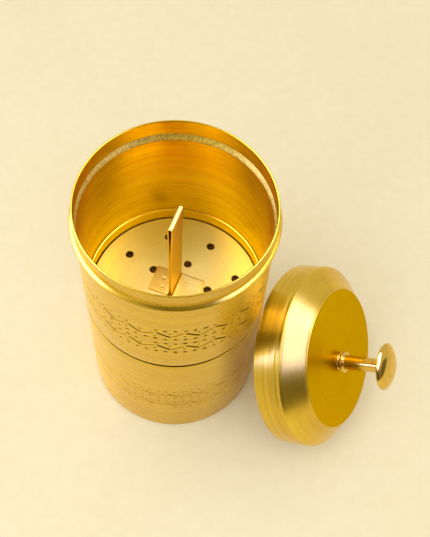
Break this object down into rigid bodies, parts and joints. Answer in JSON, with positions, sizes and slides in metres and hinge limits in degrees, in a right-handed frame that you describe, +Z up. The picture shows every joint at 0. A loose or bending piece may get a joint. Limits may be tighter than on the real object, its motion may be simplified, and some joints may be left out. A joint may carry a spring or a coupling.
{
  "type": "drip coffee filter",
  "caption": "Two stacked brass cups with a perforated presser inside the upper one and a knobbed cap lid leaning beside them; brews and collects drip coffee.",
  "frame": {"origin": "centre of the lower cup's base, on the surface it stands on", "axes": "+Z up along the cups' common axis; +X towards the side where the lid leans; -Y towards the viewer"},
  "size_m": [0.1307, 0.094, 0.128],
  "materials": {
    "cup_brass": "brushed round the body, engraved band",
    "plate_brass": "fine brushed",
    "lid_brass": "brushed, satin top",
    "knob_brass": "turned and polished"
  },
  "bodies": {
    "lower_cup": {"lower_cup": "cup_brass"},
    "upper_cup": {"upper_cup": "cup_brass", "strainer_plate": "plate_brass"},
    "presser": {"presser_disc": "plate_brass", "presser_handle": "plate_brass"},
    "lid": {"lid_shell": "lid_brass", "knob_ferrule": "knob_brass", "knob": "knob_brass", "knob_screw": "knob_brass"}
  },
  "joints": [
    {"name": "upper_cup_lift", "type": "slide", "parent": "lower_cup", "child": "upper_cup", "axis": [0, 0, 1], "range_m": [0, 0.06]},
    {"name": "presser_lift", "type": "slide", "parent": "upper_cup", "child": "presser", "axis": [0, 0, 1], "range_m": [0, 0.075]},
    {"name": "lid_pull", "type": "slide", "parent": "lower_cup", "child": "lid", "axis": [0.8078, -0.3202, 0.4948], "range_m": [0, 0.06]}
  ]
}
